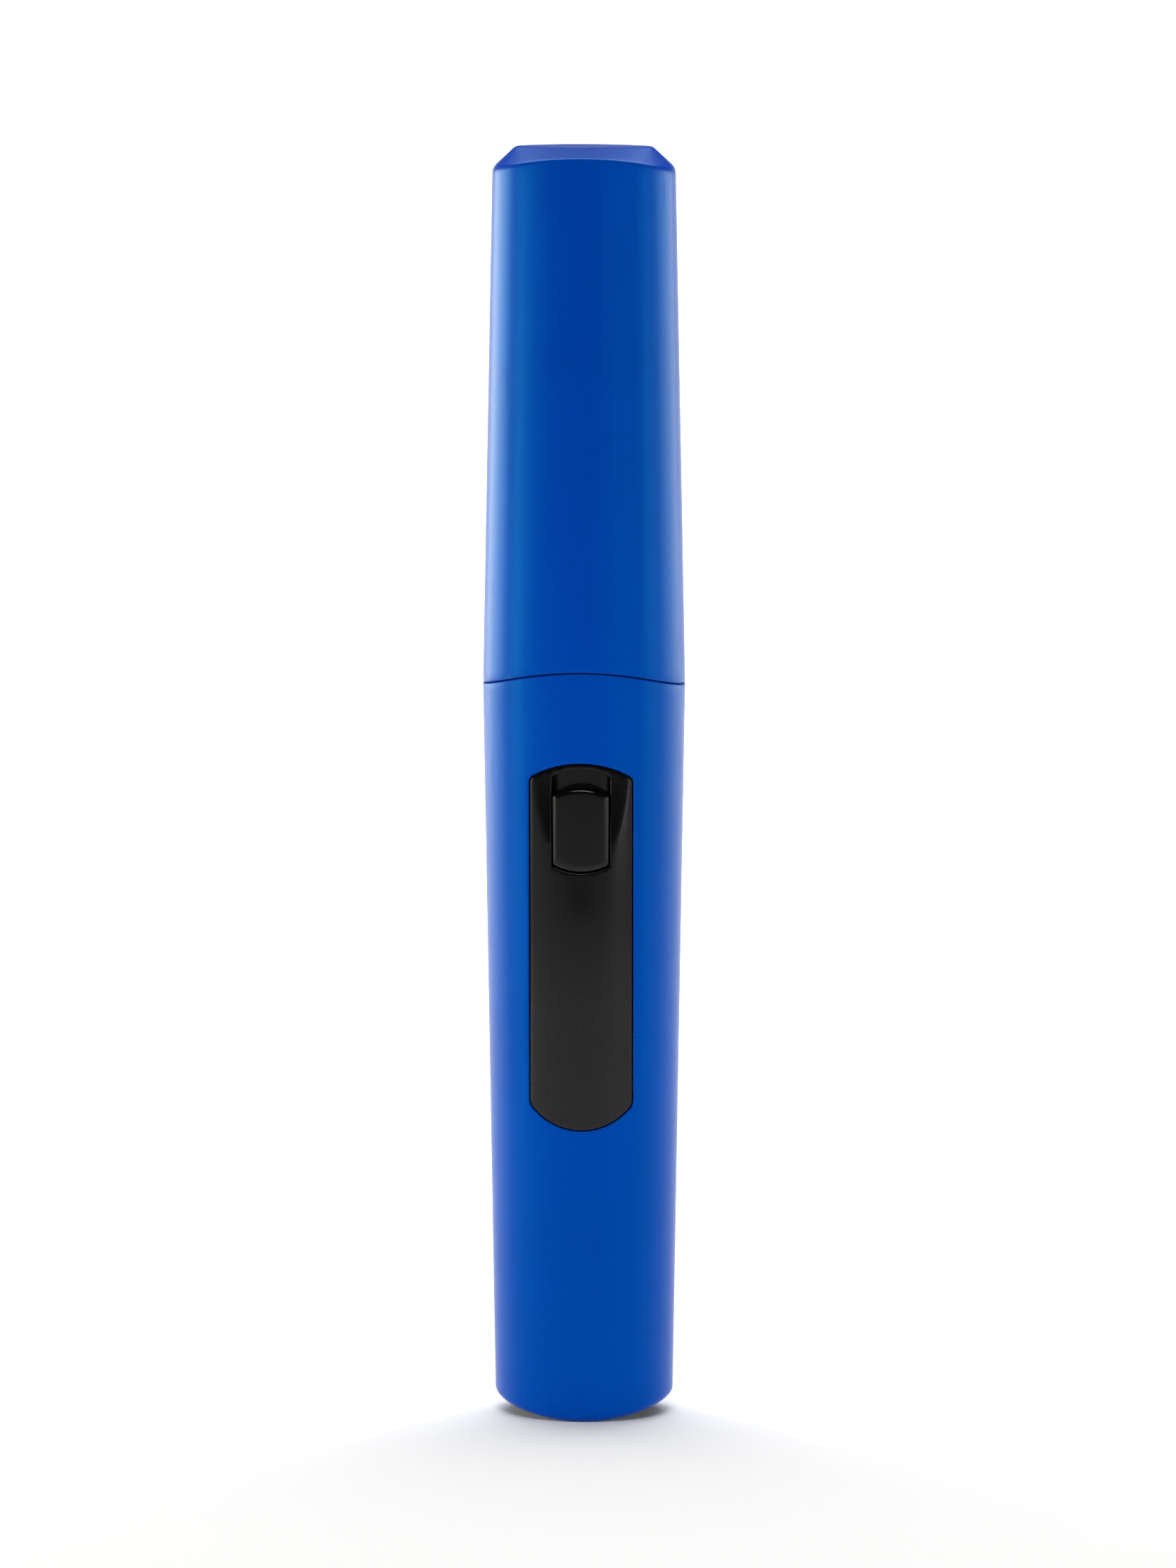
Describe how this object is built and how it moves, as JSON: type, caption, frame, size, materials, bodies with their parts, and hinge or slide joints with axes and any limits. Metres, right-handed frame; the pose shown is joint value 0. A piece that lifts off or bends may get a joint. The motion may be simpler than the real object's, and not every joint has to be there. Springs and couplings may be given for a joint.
{
  "type": "pocket butane torch",
  "caption": "Slim oval pocket butane torch with a lift-off cap over the burner, a slide igniter on a thumb panel and a refillable tank in the handle.",
  "frame": {"origin": "centre of the base at its lowest point", "axes": "+Z along the torch from the base to the end of the cap, thumb panel on -Y, +X to the right of the panel"},
  "size_m": [0.025, 0.0176, 0.158],
  "materials": {
    "handle_blue": "satin moulded",
    "cap_blue": "satin moulded",
    "panel_black": "fine texture",
    "button_black": "gloss",
    "inner_black": "moulded",
    "tank_nylon": "natural",
    "brass": "turned",
    "stainless": "drawn",
    "spring_steel": "bright",
    "ceramic": "fired",
    "rubber": "moulded",
    "wire_red": "insulation",
    "hose": "silicone",
    "white_plastic": "moulded",
    "foam": "porous"
  },
  "bodies": {
    "handle": {"body_shell": "handle_blue", "thumb_panel": "panel_black", "base_plug": "inner_black", "fuel_tank": "tank_nylon", "tank_lid": "tank_nylon", "refill_valve_body": "brass", "metering_body": "brass", "pickup_tube": "brass", "gas_valve_body": "brass", "chassis": "white_plastic", "lever_pin": "stainless", "piezo_case": "inner_black", "piezo_crystal": "ceramic", "piezo_contact": "brass", "ignition_wire": "wire_red", "neck_collar": "inner_black", "collar_screws": "stainless", "gas_hose": "hose", "gas_manifold": "brass", "gas_jet": "brass", "mixing_tube": "stainless", "flame_tube": "stainless", "flame_holder": "brass", "ceramic_insulator": "ceramic", "spark_electrode": "stainless", "gas_valve_spring": "spring_steel", "refill_valve_spring": "spring_steel", "plunger_spring": "spring_steel", "refill_valve_seal": "rubber", "adjuster_seal": "rubber", "gas_valve_seal": "rubber", "metering_disc": "foam"},
    "slider": {"ignition_button": "button_black", "slider_carrier": "inner_black"},
    "plunger": {"piezo_plunger": "white_plastic", "hammer_spring": "spring_steel"},
    "hammer": {"piezo_hammer": "stainless"},
    "lever": {"valve_lever": "stainless"},
    "gas_stem": {"gas_valve_stem": "brass", "gas_valve_pad": "rubber"},
    "refill_stem": {"refill_valve_stem": "brass"},
    "adjuster": {"flame_adjuster": "brass"},
    "cap": {"cap_shell": "cap_blue"}
  },
  "joints": [
    {"name": "cap_slide", "type": "slide", "parent": "handle", "child": "cap", "axis": [0, 0, 1], "range_m": [0, 0.06]},
    {"name": "ignition_slide", "type": "slide", "parent": "handle", "child": "slider", "axis": [0, 0, 1], "range_m": [0, 0.0022], "stiffness_N_per_m": 900, "springref_m": -0.002},
    {"name": "plunger_slide", "type": "slide", "parent": "handle", "child": "plunger", "axis": [0, 0, 1], "range_m": [0, 0.0022], "stiffness_N_per_m": 900, "springref_m": -0.001, "deforming": ["plunger_spring"]},
    {"name": "hammer_strike", "type": "slide", "parent": "plunger", "child": "hammer", "axis": [0, 0, 1], "range_m": [0, 0.0026], "stiffness_N_per_m": 300, "springref_m": -0.0005, "deforming": ["hammer_spring"]},
    {"name": "lever_hinge", "type": "hinge", "parent": "handle", "child": "lever", "pos_m": [0, 0.0048, 0.0538], "axis": [-1, 0, 0], "range_deg": [0, 14.4]},
    {"name": "gas_valve_lift", "type": "slide", "parent": "handle", "child": "gas_stem", "axis": [0, 0, 1], "range_m": [0, 0.0008], "stiffness_N_per_m": 600, "springref_m": -0.001, "deforming": ["gas_valve_spring"]},
    {"name": "refill_valve_lift", "type": "slide", "parent": "handle", "child": "refill_stem", "axis": [0, 0, 1], "range_m": [0, 0.0012], "stiffness_N_per_m": 500, "springref_m": -0.002, "deforming": ["refill_valve_spring"]},
    {"name": "adjuster_turn", "type": "hinge", "parent": "handle", "child": "adjuster", "pos_m": [0.0044, 0, 0.0035], "axis": [0, 0, -1], "range_deg": [-120, 120]}
  ],
  "couplings": [
    {"joint": "plunger_slide", "follows": "ignition_slide", "ratio": 1},
    {"joint": "lever_hinge", "follows": "ignition_slide", "rad_per_m": 113.53},
    {"joint": "gas_valve_lift", "follows": "ignition_slide", "ratio": 0.3596}
  ]
}
